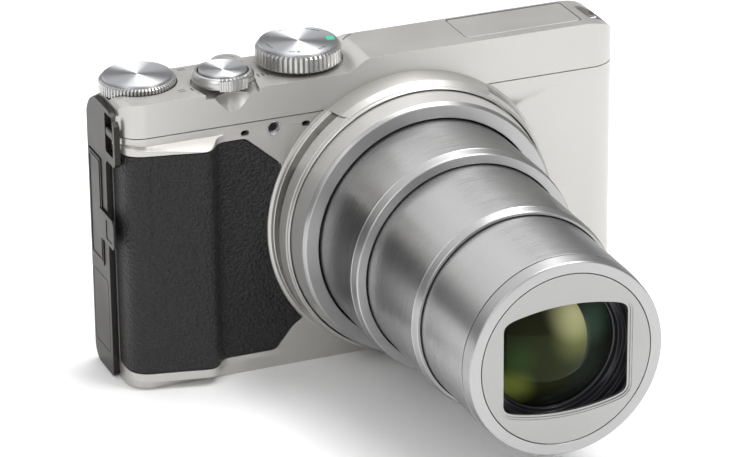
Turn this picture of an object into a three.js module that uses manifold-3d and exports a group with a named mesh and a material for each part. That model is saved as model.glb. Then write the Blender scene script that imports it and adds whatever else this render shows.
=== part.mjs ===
// Compact travel-zoom digital camera, standing on its base with the lens run out.
// Millimetres. +X to the right seen from the front, +Y to the back, +Z up.
// The origin is on the base, under the middle of the body.
import * as THREE from 'three';
import { mergeVertices } from 'three/addons/utils/BufferGeometryUtils.js';
import Module from 'manifold-3d';

const wasm = await Module();
wasm.setup();

// ---------------------------------------------------------------- driving sizes
const BODY_LEFT = -54.6;        // side of the shells, under the side plate
const BODY_RIGHT = 56;
const BODY_FRONT = -15;
const BODY_BACK = 5;
const WALL = 1.6;
const SEAM_Z = 56;              // top cover above, front and rear shells below
const SEAM_Y = 1.6;             // front shell ahead, rear shell behind
const DECK_Z = 63.2;            // low deck, left
const HUMP_Z = 65.8;            // raised deck, right
const CORNER_LEFT = 5;
const CORNER_RIGHT = 6.5;
const GAP = 0.2;                // seam between two casing parts

const LENS_X = 7.16;            // optical axis
const LENS_Z = 30.64;
const NAME_RING_FRONT = -27.2;
const BARREL_1_FRONT = -46.2;
const BARREL_2_FRONT = -70.9;
const BARREL_3_FRONT = -93.8;
const BARREL_1_RADIUS = 24.45;
const BARREL_2_RADIUS = 21.85;
const BARREL_3_RADIUS = 20.6;
const GEAR_ANGLE = -30 * Math.PI / 180;
const CAM_GEAR_RADIUS = 27;
const ZOOM_GEAR_DISTANCE = 30.5;
const PINION_DISTANCE = 36;

const SKIN = 0.8;               // grip covering thickness
const GRIP_LOW = 4;
const GRIP_HIGH = 52.4;
const SKIN_ARC = 31.5;          // covering's edge round the lens

const MODE_DIAL = { x: -12.87, y: -4.82, radius: 8.9, top: 68 };
const COMMAND_DIAL = { x: -47.1, y: -2.3, radius: 7.95, top: 65.1 };
const ZOOM_LEVER = { x: -31, y: -9.1, radius: 6.4, top: 65.9 };
const POWER_BUTTON = { x: -26.9, y: -0.15, radius: 3.3, top: 64.3 };
const FLASH = { x0: 21.8, x1: 48, y0: -12.2, y1: -1.1 };

const MONITOR = { x0: -31, x1: 48.7, y0: 5.3, y1: 11.5, z0: 5, z1: 57.5 };
const HINGE = { x: 52, y: 8.4, radius: 2.9 };
const SELECTOR = { x: -42.2, z: 18, radius: 6.8 };
const BACK_BUTTONS = [
  { name: 'record_button', x: -37, z: 30, radius: 3 },
  { name: 'play_button', x: -50.9, z: 25.6, radius: 2.7 },
  { name: 'menu_button', x: -50.9, z: 10.4, radius: 2.7 },
  { name: 'delete_button', x: -35.6, z: 7, radius: 2.7 },
];
const DOOR = { x0: -52.8, x1: -21.4, y0: -12.2, y1: -0.4 };

const FINE = 44;                // facets of the large rings
const COARSE = 20;              // facets of small and inner rounds

// ---------------------------------------------------------------- materials
const material = (color, roughness, metalness) =>
  new THREE.MeshStandardMaterial({ color, roughness, metalness });
const silver = material(0xcfccc6, 0.35, 0.7);
const darkSilver = material(0x76726a, 0.4, 0.8);
const barrelMetal = material(0x9a9a9a, 0.3, 0.9);
const brightMetal = material(0xe4e4e4, 0.2, 1);
const grip = material(0x333335, 0.8, 0);
const blackPlastic = material(0x151516, 0.5, 0);
const greyPlastic = material(0x4a4a4c, 0.6, 0);
const glass = material(0x2d3418, 0.05, 0);
const brass = material(0xb08d4a, 0.35, 0.9);
const board = material(0x1d5a35, 0.6, 0);
const steel = material(0xb9bbbd, 0.35, 1);

// ---------------------------------------------------------------- solids
// Closed solid of a three.js geometry, for joining and cutting.
function solid(geometry) {
  const bare = new THREE.BufferGeometry();
  bare.setAttribute('position', geometry.attributes.position);
  if (geometry.index) bare.setIndex(geometry.index);
  const merged = mergeVertices(bare, 1e-4);
  const p = merged.attributes.position;
  const index = merged.index.array;
  const corners = [];
  let volume = 0;
  const [a, b, c] = [new THREE.Vector3(), new THREE.Vector3(), new THREE.Vector3()];
  for (let i = 0; i < index.length; i += 3) {
    const [i0, i1, i2] = [index[i], index[i + 1], index[i + 2]];
    if (i0 === i1 || i1 === i2 || i2 === i0) continue;
    a.fromBufferAttribute(p, i0);
    b.fromBufferAttribute(p, i1);
    c.fromBufferAttribute(p, i2);
    volume += a.dot(b.cross(c));
    corners.push(i0, i1, i2);
  }
  if (volume < 0) corners.reverse();
  const vertProperties = new Float32Array(p.array);
  const triVerts = new Uint32Array(corners);
  return new wasm.Manifold(new wasm.Mesh({ numProp: 3, vertProperties, triVerts }));
}

function geometryOf(body) {
  const mesh = body.getMesh();
  const geometry = new THREE.BufferGeometry();
  geometry.setAttribute('position', new THREE.BufferAttribute(mesh.vertProperties, 3));
  geometry.setIndex(new THREE.BufferAttribute(mesh.triVerts, 1));
  geometry.computeVertexNormals();
  return geometry;
}

function box(x0, x1, y0, y1, z0, z1) {
  const geometry = new THREE.BoxGeometry(x1 - x0, y1 - y0, z1 - z0);
  geometry.translate((x0 + x1) / 2, (y0 + y1) / 2, (z0 + z1) / 2);
  return solid(geometry);
}

function extrude(shape, length, bevel, curveSegments) {
  const geometry = new THREE.ExtrudeGeometry(shape, {
    depth: length - 2 * bevel,
    bevelEnabled: bevel > 0,
    bevelSize: bevel,
    bevelThickness: bevel,
    bevelOffset: -bevel,
    bevelSegments: 1,
    curveSegments,
  });
  geometry.translate(0, 0, bevel);
  return geometry;
}

// Outline in X and Y, raised from z0 to z1.
function alongZ(shape, z0, z1, bevel = 0, curveSegments = 5) {
  return solid(extrude(shape, z1 - z0, bevel, curveSegments).translate(0, 0, z0));
}

// Outline in X and Z, carried from y0 back to y1.
function alongY(shape, y0, y1, bevel = 0, curveSegments = 5) {
  const geometry = extrude(shape, y1 - y0, bevel, curveSegments);
  return solid(geometry.rotateX(Math.PI / 2).translate(0, y1, 0));
}

// Outline in Y and Z, carried from x0 to x1.
function alongX(shape, x0, x1, bevel = 0, curveSegments = 5) {
  const geometry = extrude(shape, x1 - x0, bevel, curveSegments);
  const turn = new THREE.Matrix4().makeBasis(
    new THREE.Vector3(0, 1, 0), new THREE.Vector3(0, 0, 1), new THREE.Vector3(1, 0, 0));
  return solid(geometry.applyMatrix4(turn).translate(x0, 0, 0));
}

// Profile of [radius, height] pairs turned round the local Y axis.
function turned(profile, segments = FINE) {
  const points = profile.map(([r, h]) => new THREE.Vector2(r, h));
  return solid(new THREE.LatheGeometry(points, segments));
}

function disc(radius, h0, h1, segments = COARSE) {
  return turned([[0, h0], [radius, h0], [radius, h1], [0, h1]], segments);
}

// Disc with its upper edge cut back.
function cap(radius, h0, h1, edge, segments = COARSE) {
  return turned([[0, h0], [radius, h0], [radius, h1 - edge], [radius - edge, h1], [0, h1]], segments);
}

// Plain ring between two radii.
function ring(outer, inner, h0, h1, segments = FINE) {
  return turned([[inner, h0], [outer, h0], [outer, h1], [inner, h1], [inner, h0]], segments);
}

// Upright round solid at x, y.
function post(x, y, radius, z0, z1, segments = COARSE) {
  const geometry = new THREE.CylinderGeometry(radius, radius, z1 - z0, segments);
  geometry.rotateX(Math.PI / 2);
  return solid(geometry.translate(x, y, (z0 + z1) / 2));
}

// Round solid along Y at x, z.
function rod(x, z, radius, y0, y1, segments = COARSE) {
  const geometry = new THREE.CylinderGeometry(radius, radius, y1 - y0, segments);
  return solid(geometry.translate(x, (y0 + y1) / 2, z));
}

function polygon(points) {
  return new THREE.Shape(points.map(([u, v]) => new THREE.Vector2(u, v)));
}

function roundedRect(u0, u1, v0, v1, r) {
  const shape = new THREE.Shape();
  shape.moveTo(u0 + r, v0);
  shape.lineTo(u1 - r, v0);
  shape.absarc(u1 - r, v0 + r, r, -Math.PI / 2, 0, false);
  shape.lineTo(u1, v1 - r);
  shape.absarc(u1 - r, v1 - r, r, 0, Math.PI / 2, false);
  shape.lineTo(u0 + r, v1);
  shape.absarc(u0 + r, v1 - r, r, Math.PI / 2, Math.PI, false);
  shape.lineTo(u0, v0 + r);
  shape.absarc(u0 + r, v0 + r, r, Math.PI, 1.5 * Math.PI, false);
  return shape;
}

// Round outline with evenly spaced teeth.
function toothed(teeth, outer, inner) {
  const points = [];
  for (let i = 0; i < teeth * 2; i += 1) {
    const angle = i / teeth * Math.PI;
    const radius = i % 2 === 0 ? outer : inner;
    points.push([radius * Math.cos(angle), radius * Math.sin(angle)]);
  }
  return polygon(points);
}

// ---------------------------------------------------------------- scene graph
const camera = new THREE.Group();
const lens = new THREE.Group();          // local Y is the optical axis
lens.position.set(LENS_X, 0, LENS_Z);
camera.add(lens);

function piece(name, body, look, parent = camera) {
  const mesh = new THREE.Mesh(geometryOf(body), look);
  mesh.name = name;
  parent.add(mesh);
  return mesh;
}

// Group standing at x, y whose local Y points up.
function upright(x, y) {
  const group = new THREE.Group();
  group.position.set(x, y, 0);
  group.rotation.x = Math.PI / 2;
  camera.add(group);
  return group;
}

// Group at x, z on the back face.
function onBack(x, z) {
  const group = new THREE.Group();
  group.position.set(x, BODY_BACK, z);
  camera.add(group);
  return group;
}

// ---------------------------------------------------------------- body outlines
// Front view of the body, moved in by t.
function frontOutline(t) {
  const left = BODY_LEFT + t;
  const right = BODY_RIGHT - t;
  const shape = new THREE.Shape();
  shape.moveTo(left, t);
  shape.lineTo(right, t);
  shape.lineTo(right, 61);
  shape.absellipse(47.5, 61, right - 47.5, HUMP_Z - t - 61, 0, Math.PI / 2, false);
  shape.lineTo(-0.5, HUMP_Z - t);
  shape.bezierCurveTo(-2.6, HUMP_Z - t, -4.4, DECK_Z - t, -6.5, DECK_Z - t);
  shape.lineTo(left + 2.4, DECK_Z - t);
  shape.absarc(left + 2.4, DECK_Z - t - 2.4, 2.4, Math.PI / 2, Math.PI, false);
  return shape;
}

// Top view of the body, moved in by t, flat at the back.
function topOutline(t, back, backRadius = 0.8) {
  const left = BODY_LEFT + t;
  const right = BODY_RIGHT - t;
  const front = BODY_FRONT + t;
  const r1 = CORNER_LEFT - t;
  const r2 = CORNER_RIGHT - t;
  const shape = new THREE.Shape();
  shape.moveTo(left + r1, front);
  shape.lineTo(right - r2, front);
  shape.absarc(right - r2, front + r2, r2, -Math.PI / 2, 0, false);
  shape.lineTo(right, back - backRadius);
  shape.absarc(right - backRadius, back - backRadius, backRadius, 0, Math.PI / 2, false);
  shape.lineTo(left + backRadius, back);
  shape.absarc(left + backRadius, back - backRadius, backRadius, Math.PI / 2, Math.PI, false);
  shape.lineTo(left, front + r1);
  shape.absarc(left + r1, front + r1, r1, Math.PI, 1.5 * Math.PI, false);
  return shape;
}

// Side view of the top cover: it falls away behind the decks.
function sideOutline(t) {
  const fall = (HUMP_Z - DECK_Z) / 2.2;
  const shift = t * Math.hypot(1, fall) / fall;
  const low = 40;
  const high = 80;
  const y = (z) => (HUMP_Z - z) / fall - shift;
  const back = BODY_BACK - t;
  const bend = HUMP_Z - (back + shift) * fall;
  return polygon([[-20, low], [back, low], [back, bend], [y(high), high], [-20, high]]);
}

// Top view of the grip's front surface, moved in by t.
function gripOutline(t) {
  const left = BODY_LEFT + t;
  const front = BODY_FRONT + t;
  const flank = 0.8 * t;
  const shape = new THREE.Shape();
  shape.moveTo(left, -4);
  shape.lineTo(left, -10.3);
  shape.bezierCurveTo(left, -14.0 + t, -53.2 + t, -15.5 + t, -50.3, -16.2 + t);
  shape.lineTo(-39.5, -18.6 + t);
  shape.bezierCurveTo(-37.6, -19.0 + t, -36.8 - flank, -18.3 + t, -35.9 - flank, -17.0 + t);
  shape.bezierCurveTo(-35 - flank, -15.4 + t, -34.0, front, -32.6, front);
  shape.lineTo(-15, front);
  shape.lineTo(-15, -4);
  return shape;
}

// Front view of the grip covering, moved out by m.
function skinOutline(m) {
  const arc = SKIN_ARC - m;
  const high = Math.PI - Math.asin((45.4 - LENS_Z) / arc);
  const low = Math.PI + Math.asin((LENS_Z - 10.2) / arc);
  const shape = new THREE.Shape();
  shape.moveTo(-60, GRIP_LOW - m);
  shape.lineTo(-24.6, GRIP_LOW - m);
  shape.quadraticCurveTo(-23.2 + m, GRIP_LOW - m, -22.2 + m, 5.2 - m);
  shape.lineTo(-19.4 + m, 8.3);
  shape.quadraticCurveTo(-18.2 + m, 9.7, LENS_X + arc * Math.cos(low), LENS_Z + arc * Math.sin(low));
  shape.absarc(LENS_X, LENS_Z, arc, low, high, true);
  shape.lineTo(-28.6 + m, GRIP_HIGH + m);
  shape.lineTo(-60, GRIP_HIGH + m);
  return shape;
}

// ---------------------------------------------------------------- casing
const lensHole = rod(LENS_X, LENS_Z, 28.6, -22, -9, FINE);
const socketWindow = box(-60, -50, -2.2, 3.4, 26, 48);

function frontShell() {
  const outer = alongZ(topOutline(0, SEAM_Y, 0.05), 0, SEAM_Z - GAP)
    .intersect(alongY(frontOutline(0), BODY_FRONT, SEAM_Y, 0.5));
  const shelf = polygon([
    [-22, 2], [-22, GRIP_HIGH - 0.4], [-19, GRIP_HIGH], [-14.9, 54], [-4, 54], [-4, 2],
  ]);
  const bulge = alongZ(gripOutline(0), 2, 54).intersect(alongX(shelf, -60, -10));
  const cavity = alongZ(topOutline(WALL, 4), WALL, 60);
  const pocket = alongZ(gripOutline(-0.3), 2, 54)
    .subtract(alongZ(gripOutline(SKIN + 0.12), 1, 55))
    .intersect(alongY(skinOutline(0.12), -25, -6.9));
  return outer.add(bulge)
    .subtract(cavity)
    .subtract(pocket)
    .subtract(lensHole)
    .subtract(socketWindow)
    .subtract(box(DOOR.x0 - 0.3, DOOR.x1 + 0.3, DOOR.y0 - 0.3, DOOR.y1 + 0.3, -1, 3))
    .subtract(post(25, -5, 3.3, -1, 3))
    .subtract(rod(-28.65, 53.8, 0.75, -16, -12, 10))
    .subtract(rod(-15.3, 53.8, 0.75, -16, -12, 10))
    .subtract(rod(-22.3, 53.8, 1.45, -16, -12, 16));
}

function gripSkin() {
  return alongZ(gripOutline(0), 2, 54)
    .subtract(alongZ(gripOutline(SKIN), 1, 55))
    .intersect(alongY(skinOutline(0), -25, -7.1));
}

function topCover() {
  const hull = (t, low) => alongZ(topOutline(t, BODY_BACK - t), low, 70)
    .intersect(alongY(frontOutline(t), BODY_FRONT + t, BODY_BACK + 1, t > 0 ? 0 : 0.5))
    .intersect(alongX(sideOutline(t), -60, 60));
  const dialWell = post(COMMAND_DIAL.x, COMMAND_DIAL.y, COMMAND_DIAL.radius + 0.3, 61.6, 70);
  const wellWall = post(COMMAND_DIAL.x, COMMAND_DIAL.y, COMMAND_DIAL.radius + 1.5, 60.2, 63)
    .intersect(hull(0.4, SEAM_Z));
  const scoop = turned([[0, 58], [2.5, 58], [5.95, 63.4], [5.95, 64.5], [0, 64.5]], COARSE);
  const notch = scoop.rotate([90, 0, 0]).translate([ZOOM_LEVER.x, -17.5, 0]);
  const notchWall = box(-38, -24, -14, -10.2, 57, 63).intersect(hull(0.4, SEAM_Z));
  return hull(0, SEAM_Z).subtract(hull(WALL, SEAM_Z - 5))
    .add(wellWall)
    .add(notchWall)
    .subtract(dialWell)
    .subtract(notch)
    .subtract(lensHole)
    .subtract(post(COMMAND_DIAL.x, COMMAND_DIAL.y, 2.3, 59, 64))
    .subtract(post(ZOOM_LEVER.x, ZOOM_LEVER.y, 1.6, 59, 64, 16))
    .subtract(post(POWER_BUTTON.x, POWER_BUTTON.y, POWER_BUTTON.radius + 0.25, 60, 66))
    .subtract(post(MODE_DIAL.x, MODE_DIAL.y, 2.3, 60, 66))
    .subtract(post(MODE_DIAL.x, MODE_DIAL.y, MODE_DIAL.radius + 0.35, 63.3, 70))
    .subtract(box(FLASH.x0 - 0.3, FLASH.x1 + 0.3, FLASH.y0 - 0.3, FLASH.y1 + 0.5, 60, 70))
    .subtract(box(50.2, 54.4, -11, -3, 62.6, 70));
}

function rearShell() {
  const outer = alongZ(topOutline(0, BODY_BACK), 0, SEAM_Z - GAP)
    .intersect(alongY(frontOutline(0), -20, BODY_BACK, 0.6));
  const front = box(-70, 70, -30, SEAM_Y + GAP, -5, 70);
  const cavity = alongZ(topOutline(WALL, BODY_BACK - 1.3), WALL, 60);
  let shell = outer.subtract(front).subtract(cavity).subtract(socketWindow);
  for (const button of BACK_BUTTONS) {
    shell = shell.subtract(rod(button.x, button.z, button.radius + 0.25, 2, 7));
  }
  return shell.subtract(rod(SELECTOR.x, SELECTOR.z, SELECTOR.radius + 0.25, 2, 7));
}

piece('front_shell', frontShell(), silver);
piece('grip_skin', gripSkin(), grip);
piece('top_cover', topCover(), silver);
piece('rear_shell', rearShell(), blackPlastic);

// Side plate on the grip end, with the connector opening and, ahead of it, the strap opening.
const sideEdge = polygon([[-56, 1.6], [-54.8, 0.2], [-54.8, 61], [-56, 60]]);
const eyeletPlate = polygon([[-6.5, 49.4], [-12.2, 49.4], [-13, 50.4], [-13, 58.6], [-9.6, 61], [-6.5, 61]]);
const sidePlate = alongY(sideEdge, -6.9, 4.7)
  .add(alongX(eyeletPlate, -56, -54.8))
  .subtract(box(-57, -54, -4.2, 4.1, 24.2, 48.6))
  .subtract(box(-57, -54, -11.9, -7.2, 50.4, 60));
piece('side_plate', sidePlate, darkSilver);
piece('strap_lug_left', box(-55.9, -54.95, -11.8, -7.3, 54.4, 55.6), darkSilver);
piece('strap_lug_right', box(50.6, 54, -7.8, -6.2, 63.2, 64.1)
  .add(box(50.6, 51.4, -7.8, -6.2, 62.9, 63.5))
  .add(box(53.2, 54, -7.8, -6.2, 62.9, 63.5)), steel);

// Connector cover: a plate in the side opening with a finger tab to the front.
const coverPlate = box(-56.3, -55.1, -3.9, 3.8, 24.5, 48.3);
const coverTab = alongX(polygon([
  [-11.9, 31.6], [-11.9, 36.4], [-10.9, 37.4], [-3, 37.4], [-3, 30.8], [-11.2, 30.8],
]), -56.5, -56.12);
piece('connector_cover', coverPlate.add(coverTab), darkSilver);
const sockets = box(-54.2, -48, -1.6, 2.6, 28.8, 46.5)
  .subtract(box(-55, -49.4, -0.9, 1.9, 29.8, 36.4))
  .subtract(box(-55, -49.4, -0.5, 1.7, 39.2, 45.2));
piece('side_sockets', sockets, steel);

// ---------------------------------------------------------------- base
const doorPin = { x: DOOR.x0 + 1, z: 1.05 };
const door = box(doorPin.x, DOOR.x1, DOOR.y0, DOOR.y1, 0.05, 1.3)
  .add(rod(doorPin.x, doorPin.z, 1, DOOR.y0, DOOR.y1))
  .subtract(rod(doorPin.x, doorPin.z, 0.5, -20, 5, 12))
  .subtract(box(DOOR.x1 - 8.2, DOOR.x1 - 2.4, -9, -3.6, -1, 0.75));
piece('battery_door', door, silver);
piece('battery_door_pin', rod(doorPin.x, doorPin.z, 0.4, DOOR.y0 + 0.8, DOOR.y1 - 0.8, 12), steel);
const latch = box(DOOR.x1 - 8, DOOR.x1 - 5.2, -8.8, -3.8, 0.1, 0.65);
piece('battery_latch', latch, blackPlastic);
const tripod = post(25, -5, 4.1, 1.7, 6.4).add(post(25, -5, 3.2, 0, 3))
  .subtract(post(25, -5, 2.7, -1, 5.4));
piece('tripod_socket', tripod, steel);
piece('battery_holder', box(-52.3, -20.4, -11.3, -2.8, 3, 46.2)
  .subtract(box(-51.8, -20.9, -10.8, -3.3, 2, 45.7)), greyPlastic);
piece('battery', alongZ(roundedRect(-51.5, -21.2, -10.5, -3.6, 1.6), 3, 45.2, 0.4, 3), greyPlastic);
const cardOutline = polygon([[-47, 3], [-23, 3], [-23, 31], [-27, 35], [-47, 35]]);
piece('memory_card', alongY(cardOutline, -2.6, -0.5), blackPlastic);

// ---------------------------------------------------------------- lens, fixed
// The flange's rim is cut flat underneath, level with the base.
const flange = turned([
  [28.3, -12.8], [28.3, -15.2], [31.3, -15.2], [30.45, -16], [30.2, -16], [30.2, -19.7], [29.75, -21.1],
  [29.1, -21.9], [29.1, -17.6], [27.6, -17.6], [27.6, -12.8], [28.3, -12.8],
]);
piece('lens_flange', flange.intersect(box(-40, 40, -30, 0, 0.05 - LENS_Z, 40)), silver, lens);
piece('name_ring', turned([
  [28.75, -17.9], [28.75, -21.9], [28.15, -26.5], [27.6, NAME_RING_FRONT], [24.85, NAME_RING_FRONT],
  [24.85, -26.4], [27.3, -26.4], [27.3, -17.9], [28.75, -17.9],
]), silver, lens);
piece('lens_tube', ring(26.9, 26.35, -25.9, -1.8), blackPlastic, lens);
const camTeeth = alongY(toothed(36, CAM_GEAR_RADIUS, 26.2), -1.4, 1.1);
const camRing = ring(26.05, 24.95, -25.5, 1.1).add(camTeeth.subtract(disc(25.5, -3, 3, FINE)));
piece('cam_ring', camRing, blackPlastic, lens);

function driveGear(name, distance, teeth, radius, y0, y1, look) {
  const group = new THREE.Group();
  group.position.set(distance * Math.cos(GEAR_ANGLE), 0, distance * Math.sin(GEAR_ANGLE));
  lens.add(group);
  piece(name, alongY(toothed(teeth, radius, radius - 0.6), y0, y1), look, group);
}
driveGear('zoom_gear', ZOOM_GEAR_DISTANCE, 10, 3.3, -1.4, 1.1, brass);
driveGear('motor_pinion', PINION_DISTANCE, 8, 2, -1.4, 1.1, brass);
const motorX = LENS_X + PINION_DISTANCE * Math.cos(GEAR_ANGLE);
const motorZ = LENS_Z + PINION_DISTANCE * Math.sin(GEAR_ANGLE);
piece('zoom_motor', rod(motorX, motorZ, 4, -12.5, -1.7), steel);
const sensor = box(LENS_X - 17, LENS_X + 17, 2.1, 3.4, LENS_Z - 14, LENS_Z + 14)
  .add(box(LENS_X - 4, LENS_X + 4, 1, 2.2, LENS_Z - 3.2, LENS_Z + 3.2));
piece('image_sensor', sensor, greyPlastic);

// ---------------------------------------------------------------- lens, moving
piece('barrel_1', turned([
  [23.3, -17.2], [BARREL_1_RADIUS, -17.2], [BARREL_1_RADIUS, -43.8], [24.15, -46], [23.95, BARREL_1_FRONT],
  [22.15, BARREL_1_FRONT], [22.15, -44.6], [23.3, -44.6], [23.3, -17.2],
]), barrelMetal, lens);
piece('barrel_2', turned([
  [20.85, -42.1], [BARREL_2_RADIUS, -42.1], [BARREL_2_RADIUS, -69], [21.45, -70.7], [21.3, BARREL_2_FRONT],
  [20.85, BARREL_2_FRONT], [20.85, -42.1],
]), barrelMetal, lens);
piece('barrel_3', ring(BARREL_3_RADIUS, 19.3, -90.4, -66.4), barrelMetal, lens);
piece('front_ring', turned([
  [19.2, -90.6], [BARREL_3_RADIUS, -90.6], [20.35, -93.6], [20.15, BARREL_3_FRONT], [17.95, BARREL_3_FRONT],
  [17.95, -92.7], [19.2, -92.7], [19.2, -90.6],
]), barrelMetal, lens);

// Rounded window with an arched top and bottom, about the lens axis, moved out by m.
function windowOutline(m) {
  const side = 13.4 + m;
  const corner = 10.4 + m;
  const crown = 13.4 + m;
  const shape = new THREE.Shape();
  shape.moveTo(-side, -8.4);
  shape.lineTo(-side, 8.4);
  shape.quadraticCurveTo(-side, corner - 0.2, 1.8 - side, corner);
  shape.quadraticCurveTo(0, crown, side - 1.8, corner);
  shape.quadraticCurveTo(side, corner - 0.2, side, 8.4);
  shape.lineTo(side, -8.4);
  shape.quadraticCurveTo(side, 0.2 - corner, side - 1.8, -corner);
  shape.quadraticCurveTo(0, -crown, 1.8 - side, -corner);
  shape.quadraticCurveTo(-side, 0.2 - corner, -side, -8.4);
  return shape;
}
const plate = disc(17.75, -93.75, -92.8, FINE)
  .subtract(alongY(windowOutline(0), -95, -93.3))
  .subtract(alongY(windowOutline(-0.8), -94, -92));
piece('front_plate', plate, barrelMetal, lens);

// Lens barrier: three leaves above the window and three below, one behind another.
const LEAF_DEPTH = 0.45;
for (let i = 0; i < 3; i += 1) {
  const y1 = -92.3 + i * LEAF_DEPTH;
  const leafDisc = disc(18.8, y1 - 0.25, y1, 40);
  const hole = alongY(windowOutline(0.3), -95, -88);
  const low = i < 2 ? 8.9 : 12.25;
  const upper = leafDisc.subtract(hole).intersect(box(-20, 20, -95, -88, low, 20));
  const lower = leafDisc.subtract(hole).intersect(box(-20, 20, -95, -88, -20, -low));
  piece(`barrier_upper_${i + 1}`, upper, blackPlastic, lens);
  piece(`barrier_lower_${i + 1}`, lower, blackPlastic, lens);
}
piece('lens_holder', turned([
  [13.7, -83], [19.05, -83], [19.05, -90.4], [17.2, -90.4], [15.6, -89.8], [15.6, -89.4], [14.3, -89.2],
  [14.3, -88.6], [13.7, -88.4], [13.7, -83],
]), blackPlastic, lens);
piece('front_lens', turned([
  [0, -83.4], [13.4, -84.2], [13.4, -87.9], [11, -89.2], [7.5, -90.2], [4, -90.8], [0, -91],
], COARSE + 8), glass, lens);
piece('zoom_lens_group', turned([
  [0, -58.4], [14, -57.9], [18.6, -57.9], [18.6, -43.3], [20.6, -43.3], [20.6, -42.5], [17.9, -42.5],
  [17.9, -55], [0, -54.4],
], COARSE), greyPlastic, lens);
piece('focus_lens_group', turned([
  [0, -16.6], [12, -16.2], [16.4, -16.2], [16.4, -10.6], [12, -10.6], [0, -11],
], COARSE), greyPlastic, lens);
piece('af_lamp', rod(-22.3, 53.8, 1.2, -15.3, -13.2, 16), glass);

// ---------------------------------------------------------------- top controls
function dial(name, place, bottom, teeth, bite, look) {
  const group = upright(place.x, place.y);
  const rim = solid(extrude(toothed(teeth, place.radius, place.radius - bite), place.top - 0.4 - bottom, 0, 1)
    .rotateX(-Math.PI / 2).translate(0, bottom, 0));
  const top = disc(place.radius - 0.6, place.top - 0.6, place.top, FINE);
  const shaft = disc(1.8, place.top - 8, bottom + 0.1, 16);
  piece(name, rim.add(top).add(shaft), look, group);
}
dial('mode_dial', MODE_DIAL, 63.6, 36, 0.35, brightMetal);
dial('command_dial', COMMAND_DIAL, 61.9, 40, 0.3, brightMetal);

const leverGroup = upright(ZOOM_LEVER.x, ZOOM_LEVER.y);
const leverRing = turned([
  [5.3, 63.5], [ZOOM_LEVER.radius - 0.3, 63.5], [ZOOM_LEVER.radius, 64.4], [ZOOM_LEVER.radius, 65.1],
  [ZOOM_LEVER.radius - 0.6, ZOOM_LEVER.top], [5.3, ZOOM_LEVER.top], [5.3, 63.5],
], 40);
const leverTab = box(-2.9, 2.9, 63.7, 65.5, 5.5, 7);
piece('zoom_lever', leverRing.add(leverTab), brightMetal, leverGroup);
const shutter = cap(5.05, 64.5, 66.3, 0.3, 36).add(disc(1.3, 60.6, 64.6, 16));
piece('shutter_button', shutter, brightMetal, leverGroup);
piece('power_button', cap(POWER_BUTTON.radius, 61, POWER_BUTTON.top, 0.25), brightMetal,
  upright(POWER_BUTTON.x, POWER_BUTTON.y));

// Pop-up flash, hinged along its rear top edge.
const flashHead = box(FLASH.x0, FLASH.x1, FLASH.y0, FLASH.y1, 64.3, HUMP_Z)
  .add(box(FLASH.x0 + 1.5, FLASH.x1 - 1.5, FLASH.y0 + 1.8, FLASH.y1 - 2, 59.4, 64.4))
  .subtract(box(FLASH.x0 + 3, FLASH.x1 - 3, FLASH.y0 + 1, FLASH.y0 + 3.8, 60.2, 63.6));
piece('flash_head', flashHead, silver);
piece('flash_window', box(FLASH.x0 + 3.3, FLASH.x1 - 3.3, FLASH.y0 + 1.9, FLASH.y0 + 3.5, 60.5, 63.3), glass);

// ---------------------------------------------------------------- back
const monitorOutline = roundedRect(MONITOR.x0, MONITOR.x1, MONITOR.z0, MONITOR.z1, 2.5);
const monitorHousing = alongY(monitorOutline, MONITOR.y0, MONITOR.y1, 0.5, 4)
  .subtract(box(MONITOR.x0 + 4, MONITOR.x1 - 4, MONITOR.y0 - 1, MONITOR.y0 + 1.3, MONITOR.z0 + 4,
    MONITOR.z1 - 4));
piece('monitor_housing', monitorHousing, blackPlastic);
piece('monitor_glass', box(MONITOR.x0 + 4.2, MONITOR.x1 - 4.2, MONITOR.y0 + 0.3, MONITOR.y0 + 1.1,
  MONITOR.z0 + 4.2, MONITOR.z1 - 4.2), glass);
const arm = post(HINGE.x, HINGE.y, HINGE.radius, 10, 52.6)
  .add(box(48.9, 52, HINGE.y - 1.6, HINGE.y + 1.6, 12, 50.6))
  .subtract(post(HINGE.x, HINGE.y, 1.3, 0, 60, 16));
piece('hinge_arm', arm, blackPlastic);
const lugs = post(HINGE.x, HINGE.y, HINGE.radius, 5.2, 9.6)
  .add(box(HINGE.x - HINGE.radius, HINGE.x + HINGE.radius, BODY_BACK + 0.1, HINGE.y, 5.2, 9.6))
  .add(post(HINGE.x, HINGE.y, HINGE.radius, 53, 57.4))
  .add(box(HINGE.x - HINGE.radius, HINGE.x + HINGE.radius, BODY_BACK + 0.1, HINGE.y, 53, 57.4))
  .add(post(HINGE.x, HINGE.y, 1.1, 5.2, 57.4, 16));
piece('hinge_pin', lugs, steel);

for (const button of BACK_BUTTONS) {
  piece(button.name, cap(button.radius, -1.8, 0.9, 0.3), blackPlastic, onBack(button.x, button.z));
}
const selectorGroup = onBack(SELECTOR.x, SELECTOR.z);
piece('selector_ring', turned([
  [3.6, -1.2], [SELECTOR.radius, -1.2], [SELECTOR.radius, 0.8], [SELECTOR.radius - 0.5, 1.2], [4.2, 1.2],
  [3.6, 0.8], [3.6, -1.2],
], 36), brightMetal, selectorGroup);
piece('ok_button', cap(3.3, -1.2, 1, 0.3), blackPlastic, selectorGroup);
const thumbRest = alongY(roundedRect(-53, -35.5, 36, 54.8, 3), BODY_BACK + 0.1, BODY_BACK + 1.2, 0.4, 4);
piece('thumb_rest', thumbRest, grip);

// ---------------------------------------------------------------- inside
piece('main_board', box(35.5, 53.8, 2.3, 3.3, 8, 54)
  .add(box(38, 46, 1.1, 2.4, 30, 38)).add(box(40, 50, 1.4, 2.4, 42, 49)), board);
piece('flash_capacitor', post(49, -6, 4, 18, 46), blackPlastic);

export default camera;
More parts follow.
